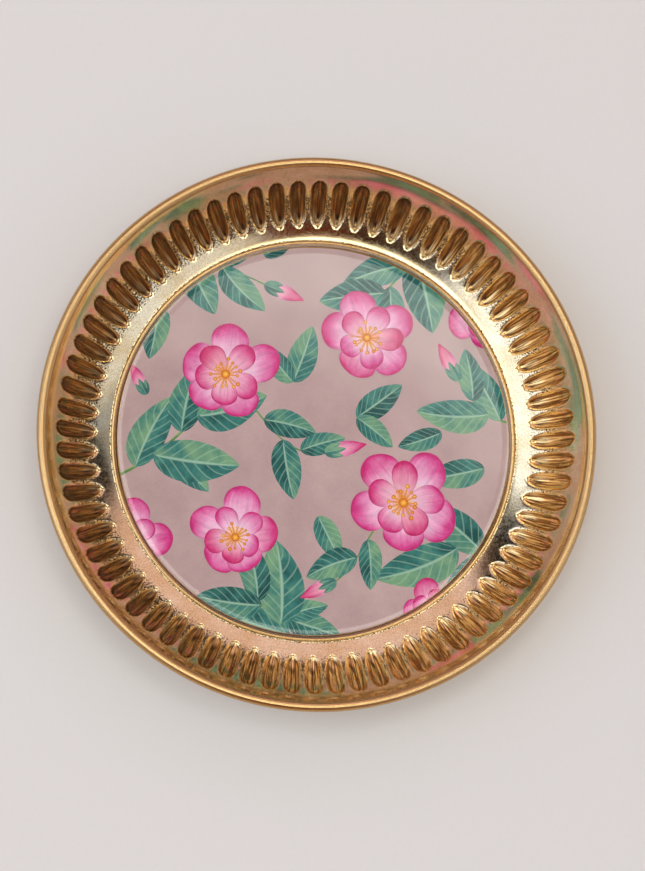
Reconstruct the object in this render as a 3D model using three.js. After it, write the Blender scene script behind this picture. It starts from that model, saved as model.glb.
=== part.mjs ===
// A small brass plate with a fluted border, a rolled rim and a printed floor under clear resin.
// Millimetres, +Z up. The origin is on the table, under the middle of the plate.
import * as THREE from "three";

// Driving dimensions of the brass dish
const overallDiameter = 152; // across the rolled rim
const overallHeight = 20; // from the table to the top of the rolled rim
const sheetThickness = 0.6;
const borderWidth = 19; // from the outer edge of the rim in to the crease at the foot of the wall
const wallFootSlope = 17.5; // degrees from level, where the wall leaves the crease
const rimHollow = 1.6; // diameter of the hollow inside the rolled rim
const rimTurn = 275; // degrees that the sheet turns round that hollow

// Bends in the sheet. Each radius is the one on the inner side of its bend.
const floorBendRadius = 0.25; // where the floor turns up into the bead
const beadBendRadius = 0.1; // over the top of the bead
const creaseBendRadius = 0.5; // between the bead and the wall
const beadInnerSlope = 65; // degrees, on the side of the bead that faces the print
const beadOuterSlope = 35; // degrees, on the side that faces the wall

// Flutes pressed outwards in the wall
const fluteCount = 72;
const fluteTurn = 4.3; // degrees from +X to the middle of the first flute
const fluteDepth = 1.3;
const fluteLand = 0.8; // plain metal between two flutes at their widest
const fluteFoot = 3.9; // plain band along the wall, from the crease to the flutes
const fluteHead = 6.2; // plain land along the wall, from the flutes to the rolled rim

// What lies on the floor of the dish
const adhesiveThickness = 0.1;
const adhesiveInset = 0.5; // the glue stops this far short of the edge of the print
const printThickness = 0.3;
const printClearance = 0.1; // between the print and the bend at the edge of the floor
const resinThickness = 0.4; // over the print, away from the bead
const resinClearance = 0.15; // between the edge of the resin and the bead
const meniscusRise = 0.5; // how far the resin climbs towards the bead
const meniscusWidth = 2.6;
const beadProud = 0.05; // the bead stands this much higher than the edge of the resin

// How finely each bend is faceted
const floorBendSteps = 1;
const beadSteps = 3;
const creaseSteps = 1;
const rimSteps = 8;
const meniscusSteps = 3;

// A flute's cross-sections, from its foot to its head: how far along it lies, from -1 to 1,
// and its width and depth as shares of the widest and deepest.
const fluteSections = [
  { along: -1, width: 0.3, depth: 0 },
  { along: -0.72, width: 0.7, depth: 0.7 },
  { along: -0.25, width: 0.97, depth: 0.97 },
  { along: 0.25, width: 0.97, depth: 0.97 },
  { along: 0.72, width: 0.7, depth: 0.7 },
  { along: 1, width: 0.3, depth: 0 },
];
const fluteBottomShare = 0.45; // width of the flat bottom of a faceted flute, as a share of its width

const radians = THREE.MathUtils.degToRad;

// Unit vector square to a heading in the (radius, height) plane, on the upper side of the sheet.
function upperSide(heading) {
  return new THREE.Vector2(-Math.sin(heading), Math.cos(heading));
}

// Stations along an arc from a start point, turning from one heading to another. Left turns are
// hollow on the upper side of the sheet, and right turns are rounded there.
function arcStations(start, fromHeading, toHeading, upperRadius, steps) {
  const side = toHeading > fromHeading ? 1 : -1;
  const centre = upperSide(fromHeading).multiplyScalar(side * upperRadius).add(start);
  return Array.from({ length: steps }, (_, i) => {
    const heading = THREE.MathUtils.lerp(fromHeading, toHeading, (i + 1) / steps);
    const point = upperSide(heading).multiplyScalar(-side * upperRadius).add(centre);
    return { point, heading };
  });
}

// Level run and rise of an arc on the upper side of the sheet.
function arcSpan(fromHeading, toHeading, upperRadius, side) {
  return new THREE.Vector2(
    side * upperRadius * (Math.sin(toHeading) - Math.sin(fromHeading)),
    side * upperRadius * (Math.cos(fromHeading) - Math.cos(toHeading)),
  );
}

// The recess, worked out from what it holds
const beadInnerHeading = radians(beadInnerSlope);
const beadOuterHeading = -radians(beadOuterSlope);
const beadUpperRadius = beadBendRadius + sheetThickness;
const printTop = sheetThickness + adhesiveThickness + printThickness;
const resinTop = printTop + resinThickness;
const beadTop = resinTop + meniscusRise + beadProud;
const floorBendSpan = arcSpan(0, beadInnerHeading, floorBendRadius, 1);
const beadInnerSpan = arcSpan(beadInnerHeading, 0, beadUpperRadius, -1);
const beadOuterSpan = arcSpan(0, beadOuterHeading, beadUpperRadius, -1);
const creaseInnerSpan = arcSpan(beadOuterHeading, 0, creaseBendRadius, 1);
const flankRise = beadTop - sheetThickness - floorBendSpan.y - beadInnerSpan.y;
const flankRun = flankRise / Math.tan(beadInnerHeading);
const creaseRadius = overallDiameter / 2 - borderWidth;
const floorRadius =
  creaseRadius - creaseInnerSpan.x - beadOuterSpan.x - beadInnerSpan.x - flankRun - floorBendSpan.x;
const flankRadius = floorRadius + floorBendSpan.x; // where the straight side of the bead begins
const flankHeight = sheetThickness + floorBendSpan.y;

// The wall is one arc that leaves the crease at its slope and meets the rolled rim smoothly.
const rimOuterRadius = rimHollow / 2 + sheetThickness;
const rimCentre = new THREE.Vector2(
  overallDiameter / 2 - rimOuterRadius,
  overallHeight - rimOuterRadius,
);
const creaseCentre = new THREE.Vector2(
  creaseRadius,
  beadTop + beadOuterSpan.y + creaseInnerSpan.y + creaseBendRadius,
);
const footHeading = radians(wallFootSlope);
const rimToCrease = creaseCentre.clone().sub(rimCentre);
const rimToCreaseAcross = rimToCrease.dot(upperSide(footHeading));
const wallRadius =
  (rimToCrease.lengthSq() +
    creaseBendRadius ** 2 -
    rimOuterRadius ** 2 -
    2 * creaseBendRadius * rimToCreaseAcross) /
  (2 * (creaseBendRadius + rimOuterRadius - rimToCreaseAcross));
const wallCentre = upperSide(footHeading)
  .multiplyScalar(wallRadius - creaseBendRadius)
  .add(creaseCentre);
const rimToWall = wallCentre.clone().sub(rimCentre);
const headHeading = Math.atan2(-rimToWall.x, rimToWall.y);
const wallLength = wallRadius * (headHeading - footHeading);
const fluteLength = wallLength - fluteFoot - fluteHead;

// The sheet's upper side in section, from the edge of the floor to the edge of the rolled rim.
// A station inside the fluted stretch also holds its flute cross-section.
function sheetStations() {
  const floorEdge = { point: new THREE.Vector2(floorRadius, sheetThickness), heading: 0 };
  const floorBend = arcStations(
    floorEdge.point,
    0,
    beadInnerHeading,
    floorBendRadius,
    floorBendSteps,
  );
  const flankTop = {
    point: new THREE.Vector2(flankRadius + flankRun, flankHeight + flankRise),
    heading: beadInnerHeading,
  };
  const bead = arcStations(
    flankTop.point,
    beadInnerHeading,
    beadOuterHeading,
    beadUpperRadius,
    beadSteps,
  );
  const crease = arcStations(
    bead.at(-1).point,
    beadOuterHeading,
    footHeading,
    creaseBendRadius,
    creaseSteps,
  );
  const wall = fluteSections.map((section) => {
    const distance = fluteFoot + (fluteLength * (section.along + 1)) / 2;
    const heading = footHeading + distance / wallRadius;
    const point = upperSide(heading).multiplyScalar(-wallRadius).add(wallCentre);
    return { point, heading, section };
  });
  const rimStart = {
    point: upperSide(headHeading).multiplyScalar(rimOuterRadius).add(rimCentre),
    heading: headHeading,
  };
  const rim = arcStations(
    rimStart.point,
    headHeading,
    headHeading - radians(rimTurn),
    rimOuterRadius,
    rimSteps,
  );
  return [floorEdge, ...floorBend, flankTop, ...bead, ...crease, ...wall, rimStart, ...rim];
}

const flutePitch = (2 * Math.PI) / fluteCount;
const fluteMiddleHeading = footHeading + (fluteFoot + fluteLength / 2) / wallRadius;
const fluteMiddleRadius = wallCentre.x + wallRadius * Math.sin(fluteMiddleHeading);
const fluteHalfAngle = (flutePitch - fluteLand / fluteMiddleRadius) / 2;

// One ring of points round the plate at a station, on the upper side of the sheet or below it.
// A plain ring has one point for each land between the flutes, and a fluted one has four a flute.
function ringAt({ point, heading, section }, below) {
  const spread = section
    ? [-1, -fluteBottomShare, fluteBottomShare, 1].map((s) => s * section.width * fluteHalfAngle)
    : [-flutePitch / 2];
  const ring = [];
  for (let flute = 0; flute < fluteCount; flute += 1) {
    spread.forEach((offset, i) => {
      const inBottom = section && i > 0 && i < spread.length - 1;
      const sunk = (inBottom ? section.depth * fluteDepth : 0) + (below ? sheetThickness : 0);
      const place = upperSide(heading).multiplyScalar(-sunk).add(point);
      ring.push({ angle: flute * flutePitch + offset, radius: place.x, height: place.y });
    });
  }
  return ring;
}

// A closed surface through a list of rings. It joins each ring to the next with triangles by
// walking round both at once. A ring of one point closes the surface at the axis.
function closedSkin(rings) {
  const positions = rings.flat().flatMap(({ angle, radius, height }) => [
    radius * Math.cos(angle),
    radius * Math.sin(angle),
    height,
  ]);
  const angleAt = (ring, i) => ring[i % ring.length].angle + (i < ring.length ? 0 : 2 * Math.PI);
  const middleAfter = (ring, i) => (angleAt(ring, i) + angleAt(ring, i + 1)) / 2;
  const stepsRound = (ring) => (ring.length > 1 ? ring.length : 0);
  const indices = [];
  let hereStart = 0;
  for (let r = 0; r + 1 < rings.length; r += 1) {
    const [here, next] = [rings[r], rings[r + 1]];
    const nextStart = hereStart + here.length;
    let h = 0;
    let n = 0;
    while (h < stepsRound(here) || n < stepsRound(next)) {
      const hereLeft = h < stepsRound(here);
      const nextLeft = n < stepsRound(next);
      const onNext = !hereLeft || (nextLeft && middleAfter(next, n) <= middleAfter(here, h));
      const hereIndex = hereStart + (h % here.length);
      const nextIndex = nextStart + (n % next.length);
      h += onNext ? 0 : 1;
      n += onNext ? 1 : 0;
      const third = onNext ? nextStart + (n % next.length) : hereStart + (h % here.length);
      indices.push(hereIndex, nextIndex, third);
    }
    hereStart = nextStart;
  }
  const geometry = new THREE.BufferGeometry();
  geometry.setAttribute("position", new THREE.Float32BufferAttribute(positions, 3));
  geometry.setIndex(indices);
  geometry.computeVertexNormals();
  return geometry;
}

// The pressed sheet: out along its upper side, round the rolled rim, and back along its underside.
function brassDish() {
  const stations = sheetStations();
  const upper = stations.map((station) => ringAt(station, false));
  const lower = stations.map((station) => ringAt(station, true)).reverse();
  const geometry = closedSkin([
    [{ angle: 0, radius: 0, height: sheetThickness }],
    ...upper,
    ...lower,
    [{ angle: 0, radius: 0, height: 0 }],
  ]);
  const material = new THREE.MeshStandardMaterial({
    color: 0xc9a15a,
    metalness: 1,
    roughness: 0.22,
  });
  const mesh = new THREE.Mesh(geometry, material);
  mesh.name = "brass_dish";
  mesh.rotation.z = radians(fluteTurn);
  return mesh;
}

// A solid turned round the plate's axis. The outline is given from the axis, out along the
// underside and back along the top to the axis, as [radius, height] pairs.
function turned(name, outline, material) {
  const points = outline.map(([radius, height]) => new THREE.Vector2(radius, height));
  const geometry = new THREE.LatheGeometry(points, fluteCount).rotateX(Math.PI / 2);
  const mesh = new THREE.Mesh(geometry, material);
  mesh.name = name;
  return mesh;
}

const printRadius = floorRadius - printClearance;

function printAdhesive() {
  const radius = printRadius - adhesiveInset;
  const bottom = sheetThickness;
  const top = bottom + adhesiveThickness;
  const outline = [[0, bottom], [radius, bottom], [radius, top], [0, top]];
  const material = new THREE.MeshStandardMaterial({ color: 0xe6e2d6, roughness: 0.6 });
  return turned("print_adhesive", outline, material);
}

function printedDisc() {
  const bottom = sheetThickness + adhesiveThickness;
  const outline = [[0, bottom], [printRadius, bottom], [printRadius, printTop], [0, printTop]];
  const material = new THREE.MeshStandardMaterial({ color: 0xc6acad, roughness: 0.7 });
  return turned("printed_disc", outline, material);
}

// The resin keeps its clearance to the straight side of the bead, and stands upright above it.
function resinCoat() {
  const edgeAt = (height) =>
    flankRadius +
    (height - flankHeight) / Math.tan(beadInnerHeading) -
    resinClearance / Math.sin(beadInnerHeading);
  const flankTop = flankHeight + flankRise;
  const outerRadius = edgeAt(flankTop);
  const meniscus = Array.from({ length: meniscusSteps + 1 }, (_, i) => {
    const climb = 1 - i / meniscusSteps;
    return [outerRadius - meniscusWidth * (1 - climb), resinTop + meniscusRise * climb ** 2];
  });
  const outline = [
    [0, printTop],
    [edgeAt(printTop), printTop],
    [outerRadius, flankTop],
    ...meniscus,
    [0, resinTop],
  ];
  const material = new THREE.MeshStandardMaterial({
    color: 0xffffff,
    roughness: 0.05,
    transparent: true,
    opacity: 0.25,
  });
  return turned("resin_coat", outline, material);
}

const plate = new THREE.Group();
plate.add(brassDish(), printAdhesive(), printedDisc(), resinCoat());

export default plate;
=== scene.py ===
"""Studio scene of a small brass plate with a fluted border and a printed floor under clear resin.

The packed model is the frame. A pressed brass shell, a printed disc and a poured resin coat stand
in the places of its plain solids, and its glue film gets a finish. Lengths are in metres, +Z is up,
and the origin is on the table, under the middle of the plate.
"""

import math
import random
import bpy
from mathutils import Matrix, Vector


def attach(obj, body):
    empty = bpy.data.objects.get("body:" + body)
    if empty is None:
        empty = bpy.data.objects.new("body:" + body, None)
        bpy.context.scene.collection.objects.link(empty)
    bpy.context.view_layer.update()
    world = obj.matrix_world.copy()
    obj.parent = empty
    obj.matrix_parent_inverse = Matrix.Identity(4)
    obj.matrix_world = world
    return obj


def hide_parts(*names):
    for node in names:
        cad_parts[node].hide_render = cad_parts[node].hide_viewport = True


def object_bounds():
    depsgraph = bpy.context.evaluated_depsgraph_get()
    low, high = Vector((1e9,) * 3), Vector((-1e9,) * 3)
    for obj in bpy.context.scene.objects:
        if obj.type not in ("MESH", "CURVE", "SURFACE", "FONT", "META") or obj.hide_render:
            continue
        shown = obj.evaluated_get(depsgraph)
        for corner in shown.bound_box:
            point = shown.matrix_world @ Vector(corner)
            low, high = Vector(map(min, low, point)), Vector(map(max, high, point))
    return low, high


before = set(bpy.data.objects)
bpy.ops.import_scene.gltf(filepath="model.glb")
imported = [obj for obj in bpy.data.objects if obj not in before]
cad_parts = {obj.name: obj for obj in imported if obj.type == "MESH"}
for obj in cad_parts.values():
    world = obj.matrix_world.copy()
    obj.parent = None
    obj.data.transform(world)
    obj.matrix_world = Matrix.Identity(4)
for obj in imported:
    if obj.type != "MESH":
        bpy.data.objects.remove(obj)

from types import SimpleNamespace

import bpy
from mathutils import Color, Matrix, Vector
from mathutils.geometry import delaunay_2d_cdt

CAD_LOWEST, CAD_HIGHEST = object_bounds()

bl_info = {
    "name": "Fluted brass plate",
    "version": (1, 0, 0),
    "blender": (4, 5, 0),
    "location": "View3D > Sidebar > Plate",
    "description": "A pressed brass plate with 72 flutes and a printed floor under clear resin",
    "category": "Add Mesh",
}

MM = 0.001

# Sockets of the colour Mix node, whose names are shared by its other data types, and settings that
# many nodes share.
MIX_A = 6
MIX_B = 7
COLOURS = {"data_type": "RGBA"}
SOFT = {"interpolation_type": "SMOOTHSTEP"}


def linear(code):
    """A colour written as sRGB hex, turned to linear red, green and blue."""
    parts = [int(code[i : i + 2], 16) / 255 for i in (1, 3, 5)]
    return tuple(c / 12.92 if c <= 0.04045 else ((c + 0.055) / 1.055) ** 2.4 for c in parts)


def opaque(shade):
    """Red, green, blue and a full alpha, from sRGB hex, a grey or a linear colour."""
    if isinstance(shade, str):
        shade = linear(shade)
    elif isinstance(shade, (int, float)):
        shade = (shade, shade, shade)
    return (*shade, 1.0)


def number(name, description, default):
    """A plain number property."""
    return bpy.props.FloatProperty(name=name, description=description, default=default)


def length(name, description, default):
    """A length property. Its default is given in metres."""
    return bpy.props.FloatProperty(
        name=name, description=description, default=default, min=0.0, precision=5, unit="LENGTH"
    )


def angle(name, description, degrees):
    """An angle property. Its default is given in degrees."""
    return bpy.props.FloatProperty(
        name=name, description=description, default=math.radians(degrees), subtype="ANGLE"
    )


def colour(name, description, code):
    """A colour property. Its default is given as sRGB hex."""
    return bpy.props.FloatVectorProperty(
        name=name, description=description, default=linear(code), min=0.0, max=1.0, subtype="COLOR"
    )


class DishSizes(bpy.types.PropertyGroup):
    """Sizes of the pressed brass sheet."""

    diameter: length("Diameter", "Across the rolled rim", 2 * CAD_HIGHEST.x)
    height: length("Height", "From the table to the top of the rolled rim", CAD_HIGHEST.z)
    sheet: length("Sheet", "Thickness of the brass sheet", 0.6 * MM)
    border: length("Border", "From the outer edge of the rim in to the crease", 19 * MM)
    foot_slope: angle("Foot slope", "Slope of the wall where it leaves the crease", 17.5)
    rim_hollow: length("Rim hollow", "Diameter of the hollow inside the rolled rim", 1.6 * MM)
    rim_turn: angle("Rim turn", "How far the sheet turns round that hollow", 275)
    floor_bend: length("Floor bend", "Inner radius where the floor turns up", 0.25 * MM)
    bead_bend: length("Bead bend", "Inner radius over the top of the bead", 0.1 * MM)
    crease_bend: length("Crease bend", "Inner radius between bead and wall", 0.5 * MM)
    bead_inner_slope: angle("Bead inner slope", "Side of the bead that faces the print", 65)
    bead_outer_slope: angle("Bead outer slope", "Side of the bead that faces the wall", 35)
    bead_top: length("Bead top", "Height of the bead's top above the table", 1.95 * MM)
    flute_count: bpy.props.IntProperty(
        name="Flutes", description="Flutes pressed in the wall", default=72, min=3
    )
    flute_turn: angle("Flute turn", "From +X to the middle of the first flute", 4.3)
    flute_depth: length("Flute depth", "How deep a flute is pressed", 1.3 * MM)
    flute_land: length("Land", "Plain metal between two flutes at their widest", 0.8 * MM)
    flute_foot: length("Foot band", "Plain wall from the crease to the flutes", 3.9 * MM)
    flute_head: length("Head land", "Plain wall from the flutes to the rolled rim", 6.2 * MM)


class InlaySizes(bpy.types.PropertyGroup):
    """Sizes of what lies on the floor of the dish."""

    print_bottom: length("Print bottom", "Height of the print's back", 0.7 * MM)
    print_top: length("Print top", "Height of the printed face", 1.0 * MM)
    print_gap: length("Print gap", "Between the print and the bend of the floor", 0.1 * MM)
    resin_top: length("Resin top", "Height of the flat resin", 1.4 * MM)
    resin_gap: length("Resin gap", "Left between the resin and what it wets", 0.02 * MM)
    edge_slope: angle("Edge slope", "Slope of the bead where the resin ends", 28)
    meniscus: length("Meniscus", "Width of the resin's climb to the bead", 3.0 * MM)


class BrassFinish(bpy.types.PropertyGroup):
    """Colours and gloss of the lacquered brass."""

    bright: colour("Bright", "Clean polished brass", "#F4DEB6")
    worn: colour("Worn", "Brass a little dulled by handling", "#E4C594")
    # Painted reflection: this warm tint stands for what the rim and the bead mirror.
    warm_reflection: colour("Lacquer", "Golden lacquer where it gathered along edges", "#CDA672")
    # The lip colour is a painted highlight along the rounded edges of the flutes.
    lip: colour("Lip", "Rubbed bright edge of the flutes", "#FFE2B0")
    flute: colour("Flute", "Brown left in the flutes", "#573C20")
    flute_streak: colour("Flute streak", "Lighter draw lines in the brown flutes", "#A5733F")
    # The next two colours paint a highlight into the flutes on one side.
    lit_flute: colour("Gold flute", "Brown left in the brighter flutes", "#946430")
    lit_flute_streak: colour("Gold streak", "Lighter draw lines in the brighter flutes", "#FFD48E")
    # This colour also paints shade: the dark lines along the two bends are partly painted shade.
    tarnish_and_shade: colour("Tarnish", "Brown residue in pits and creases", "#2E1C0D")
    roughness: number("Roughness", "Roughness of the clean metal", 0.13)


class PrintColours(bpy.types.PropertyGroup):
    """Inks of the printed floral."""

    ground: colour("Ground", "Dusty pink ground", "#C8ABA5")
    ground_wash: colour("Ground wash", "Darker wash in the ground", "#B89B96")
    petal_heart: colour("Petal heart", "Petals at their base", "#F5A94A")
    petal_pale: colour("Petal pale", "Palest part of a petal", "#F3CCDB")
    petal_rose: colour("Petal rose", "Middle tone of a petal", "#E784B2")
    petal_deep: colour("Petal deep", "Petals at their tip", "#CF2F78")
    petal_coral: colour("Petal coral", "Warm tone of some petals", "#F0605A")
    leaf_dark: colour("Leaf dark", "Leaves in shade", "#1D5450")
    leaf_teal: colour("Leaf teal", "Middle tone of a leaf", "#3C7F74")
    leaf_green: colour("Leaf green", "Light tone of a leaf", "#7DA77E")
    leaf_vein: colour("Leaf vein", "Veins and midribs", "#A9CBAE")
    stem: colour("Stem", "Stems", "#86AC68")
    pollen: colour("Pollen", "Stamens", "#F7B83E")


class StudioSettings(bpy.types.PropertyGroup):
    """Camera, lamps and floor."""

    aim: bpy.props.FloatVectorProperty(
        name="Aim",
        description="Point that the camera looks at",
        default=(-4.58 * MM, -1.98 * MM, 1.0 * MM),
        precision=5,
        subtype="TRANSLATION",
    )
    lean_x: angle("Lean in X", "Camera's lean off the vertical, towards +X", -3.77)
    lean_y: angle("Lean in Y", "Camera's lean off the vertical, towards +Y", -8.5)
    distance: length("Distance", "From the camera to its aim", 0.5)
    lens: number("Lens", "Focal length in millimetres", 73.78)
    shift_x: number("Shift X", "Lens shift to the right, in picture heights", 0.0281)
    shift_y: number("Shift Y", "Lens shift upwards, in picture heights", 0.0111)
    lamp_radiance: number("Lamp radiance", "Brightness of the softboxes' faces", 1.7)
    floor: colour("Floor", "Pale floor", "#DEDAD4")
    horizon: colour("Horizon", "Pale surround near and below the horizon", "#D6CEC4")
    overhead: colour("Overhead", "Bright ring round the camera", "#F4F8EC")
    zenith: colour("Zenith", "Dark round the camera itself", "#221E1A")
    overhead_gain: number("Overhead gain", "Brightness of the overhead ring", 3.75)
    lamp_tint: colour("Lamp tint", "Colour of the softboxes' light", "#D2E2FF")


def add(tree, kind, inputs=(), stops=(), out=None, **settings):
    """Adds one node with its settings, its inputs by name or in their order and, for a colour ramp,
    its stops. Gives back the output that is named, or else the first one in use."""
    made = tree.nodes.new("ShaderNode" + kind)
    for name, value in settings.items():
        setattr(made, name, value)
    places = inputs if isinstance(inputs, dict) else dict(enumerate(inputs))
    for place, value in places.items():
        if isinstance(value, bpy.types.NodeSocket):
            tree.links.new(value, made.inputs[place])
        else:
            is_colour = isinstance(value, (str, Color))
            made.inputs[place].default_value = opaque(value) if is_colour else value
    # A ramp starts with two elements, which take the lowest and the highest stop.
    for i, (position, shade) in enumerate((*stops[:1], *stops[:0:-1])):
        elements = made.color_ramp.elements
        element = elements[i] if i < 2 else elements.new(position)
        element.position = position
        element.color = opaque(shade)
    return made.outputs[out] if out else next((o for o in made.outputs if o.enabled), None)


def new_material(name):
    """An empty node material and its tree."""
    material = bpy.data.materials.new(name)
    material.use_nodes = True
    material.node_tree.nodes.clear()
    return material, material.node_tree


def new_piece(name, mesh, materials):
    """An object for a mesh that rides on the plate's one body and takes its finish from a slot."""
    piece = bpy.data.objects.new(name, mesh)
    bpy.context.scene.collection.objects.link(piece)
    for material in materials:
        mesh.materials.append(material)
    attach(piece, "root")
    return piece


def smooth(mesh, sharp_above):
    """Smooth shading, but with edges kept sharp where two faces meet above an angle in degrees."""
    mesh.polygons.foreach_set("use_smooth", [True] * len(mesh.polygons))
    mesh.set_sharp_from_angle(angle=math.radians(sharp_above))
    mesh.update()


def upper_side(heading):
    """Unit vector square to a heading in the (radius, height) plane, on the sheet's upper side."""
    return Vector((-math.sin(heading), math.cos(heading)))


def arc(start, from_heading, to_heading, upper_radius, steps):
    """Points and headings along an arc. Left turns are hollow on the sheet's upper side."""
    side = 1 if to_heading > from_heading else -1
    centre = Vector(start) + upper_side(from_heading) * side * upper_radius
    headings = [
        from_heading + (to_heading - from_heading) * (i + 1) / steps for i in range(steps)
    ]
    return [(centre - upper_side(h) * side * upper_radius, h) for h in headings]


def dish_shape(dish):
    """The dish's section, worked out from its sizes: where each bend starts, and the wall's arc."""
    inner = dish.bead_inner_slope
    outer = -dish.bead_outer_slope
    foot = dish.foot_slope
    bead_radius = dish.bead_bend + dish.sheet
    crease_centre = Vector((dish.diameter / 2 - dish.border, 0.0))
    bead_centre = Vector((0.0, dish.bead_top - bead_radius))
    crease_centre.y = bead_centre.y + (bead_radius + dish.crease_bend) * math.cos(outer)
    bead_centre.x = crease_centre.x - (bead_radius + dish.crease_bend) * math.sin(-outer)
    flank_top = bead_centre + upper_side(inner) * bead_radius
    flank_height = dish.sheet + dish.floor_bend * (1 - math.cos(inner))
    flank_radius = flank_top.x - (flank_top.y - flank_height) / math.tan(inner)
    rim_radius = dish.rim_hollow / 2 + dish.sheet
    rim_centre = Vector((dish.diameter / 2 - rim_radius, dish.height - rim_radius))
    across = crease_centre - rim_centre
    lean = across.dot(upper_side(foot))
    wall_radius = (
        across.length_squared
        + dish.crease_bend**2
        - rim_radius**2
        - 2 * dish.crease_bend * lean
    ) / (2 * (dish.crease_bend + rim_radius - lean))
    wall_centre = crease_centre + upper_side(foot) * (wall_radius - dish.crease_bend)
    to_wall = wall_centre - rim_centre
    head = math.atan2(-to_wall.x, to_wall.y)
    wall_length = wall_radius * (head - foot)
    flute_length = wall_length - dish.flute_foot - dish.flute_head
    middle = foot + (dish.flute_foot + flute_length / 2) / wall_radius
    middle_radius = wall_centre.x + wall_radius * math.sin(middle)
    pitch = 2 * math.pi / dish.flute_count
    return SimpleNamespace(
        bead_centre=bead_centre,
        bead_radius=bead_radius,
        flank_top=flank_top,
        flank_height=flank_height,
        flank_radius=flank_radius,
        floor_radius=flank_radius - dish.floor_bend * math.sin(inner),
        rim_centre=rim_centre,
        rim_radius=rim_radius,
        wall_centre=wall_centre,
        wall_radius=wall_radius,
        wall_length=wall_length,
        flute_length=flute_length,
        head=head,
        pitch=pitch,
        flute_half_angle=(pitch - dish.flute_land / middle_radius) / 2,
    )


# How finely the visible skin is cut. The underside gets about half as many faces.
FLOOR_BEND_STEPS = 4
BEAD_STEPS = 9
CREASE_STEPS = 6
FOOT_STEPS = 4
FLUTE_STEPS = 30
HEAD_STEPS = 6
RIM_STEPS = 26
PLAIN_COLUMNS = 8  # columns a flute pitch where the wall is plain

# Where the columns stand across a flute, as shares of its half width.
FINE_COLUMNS = (
    *(-1.08, -1, -0.94, -0.86, -0.7, -0.47, -0.23),
    *(0, 0.23, 0.47, 0.7, 0.86, 0.94, 1, 1.08),
)
COARSE_COLUMNS = (-1, -0.66, -0.33, 0, 0.33, 0.66, 1)

FLUTE_EDGE_SLOPE = math.radians(56)  # a flute's section is an arc that starts at this slope
FLUTE_LIP = 0.2  # how far the lip of a flute is rounded, as a share of its depth
FLUTE_TIP = 0.08  # least width of a flute's end, as a share of its widest
FLUTE_OUTLINE = 3.2  # power of the flute's outline: 2 is an ellipse, more is squarer
FOOT_SINK = (3.2, 0.52)  # powers of the depth along the flute, towards its foot
HEAD_SINK = (3.6, 0.6)  # and towards its head
ACROSS_LIMIT = 1.2  # places across a flute are stored up to here, past its lips
BACK_STAIN = 0.3  # behind, the flutes stand out and were rubbed clean, so they hold little stain


def flute_taper(t):
    """Width and depth of a flute as shares of the most, at t from -1 at its foot to 1 at its
    head."""
    width = math.sqrt(1 - abs(t) ** FLUTE_OUTLINE)
    flat, round_off = FOOT_SINK if t < 0 else HEAD_SINK
    return max(FLUTE_TIP, width), (1 - abs(t) ** flat) ** round_off


def flute_hollow(across, depth_share):
    """Depth share at a place across a flute. The arc runs out in a straight line past its edge, and
    a soft maximum with the plain wall rounds the lip."""
    edge = math.sin(FLUTE_EDGE_SLOPE)
    shut = math.cos(FLUTE_EDGE_SLOPE)
    u = abs(across)
    if u <= 1:
        hollow = (math.sqrt(1 - (edge * u) ** 2) - shut) / (1 - shut)
    else:
        hollow = -(edge**2) / shut / (1 - shut) * (u - 1)
    hollow *= depth_share
    return (hollow + math.sqrt(hollow**2 + FLUTE_LIP**2 * depth_share**2)) / 2


def dish_stations(dish, shape, fine):
    """The sheet's section from the edge of the floor to the edge of the rolled rim. Each station
    has a point, a heading, its distance past the crease, and its place t along the flutes or
    None."""
    share = 1 if fine else 0.5
    steps = {
        name: max(1, round(count * share))
        for name, count in (
            ("floor", FLOOR_BEND_STEPS),
            ("bead", BEAD_STEPS),
            ("crease", CREASE_STEPS),
            ("foot", FOOT_STEPS),
            ("flute", FLUTE_STEPS),
            ("head", HEAD_STEPS),
            ("rim", RIM_STEPS),
        )
    }
    inner = dish.bead_inner_slope
    outer = -dish.bead_outer_slope
    floor_edge = (Vector((shape.floor_radius, dish.sheet)), 0.0)
    path = [floor_edge]
    path += arc(floor_edge[0], 0.0, inner, dish.floor_bend, steps["floor"])
    path.append((shape.flank_top, inner))
    path += arc(path[-1][0], inner, outer, shape.bead_radius, steps["bead"])
    path += arc(path[-1][0], outer, dish.foot_slope, dish.crease_bend, steps["crease"])
    wall_start = len(path) - 1

    def on_wall(distance):
        heading = dish.foot_slope + distance / shape.wall_radius
        return shape.wall_centre - upper_side(heading) * shape.wall_radius, heading

    places = [dish.flute_foot * (i + 1) / steps["foot"] for i in range(steps["foot"])]
    tees = [None] * (len(path) + steps["foot"] - 1)
    for i in range(steps["flute"] + 1):
        t = math.sin(math.pi / 2 * (2 * i / steps["flute"] - 1))
        tees.append(t)
        if i > 0:
            places.append(dish.flute_foot + shape.flute_length * (t + 1) / 2)
    for i in range(steps["head"]):
        places.append(shape.wall_length - dish.flute_head * (1 - (i + 1) / steps["head"]))
    path += [on_wall(distance) for distance in places]
    path += arc(
        path[-1][0], shape.head, shape.head - dish.rim_turn, shape.rim_radius, steps["rim"]
    )
    tees += [None] * (len(path) - len(tees))
    run = [0.0]
    for (here, _), (there, _) in zip(path, path[1:]):
        run.append(run[-1] + (there - here).length)
    return [
        SimpleNamespace(point=point, heading=heading, past_crease=s - run[wall_start], t=t)
        for (point, heading), s, t in zip(path, run, tees)
    ]


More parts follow.
